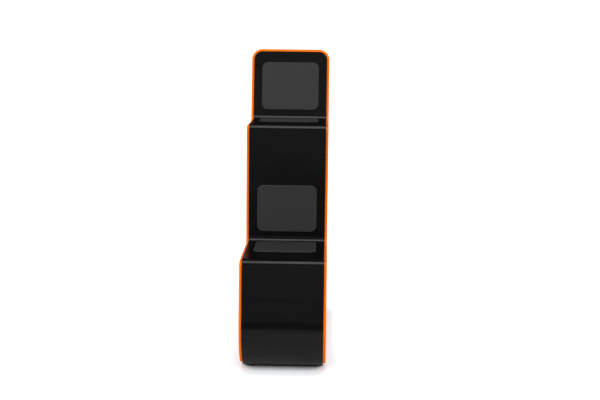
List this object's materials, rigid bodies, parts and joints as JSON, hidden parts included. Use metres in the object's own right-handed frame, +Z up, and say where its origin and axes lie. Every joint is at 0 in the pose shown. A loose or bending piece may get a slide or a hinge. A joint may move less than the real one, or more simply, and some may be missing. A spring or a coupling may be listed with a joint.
{
  "type": "controller stand",
  "caption": "Two-tier display stand for game controllers, folded from one orange-edged dark strip with a flat base, two sloped shelves and soft pads.",
  "frame": {"origin": "centre of the overall box at floor level", "axes": "+Z up, the front panel faces -Y, X is the width, lengths in metres"},
  "size_m": [0.052, 0.1558, 0.1764],
  "materials": {
    "orange_paint": "satin orange powder coat on folded sheet steel",
    "dark_facing": "satin black, smooth, faint broad reflections",
    "dark_lining": "matt black, fine grain",
    "grip_rubber": "matt black rubber",
    "soft_pad": "matt dark silicone, slightly softer than the facing"
  },
  "bodies": {
    "root": {"core_strip": "orange_paint", "front_facing": "dark_facing", "back_lining": "dark_lining", "grip_mat": "grip_rubber", "lower_seat_pad": "soft_pad", "lower_back_pad": "soft_pad", "upper_seat_pad": "soft_pad", "upper_back_pad": "soft_pad"}
  },
  "joints": []
}
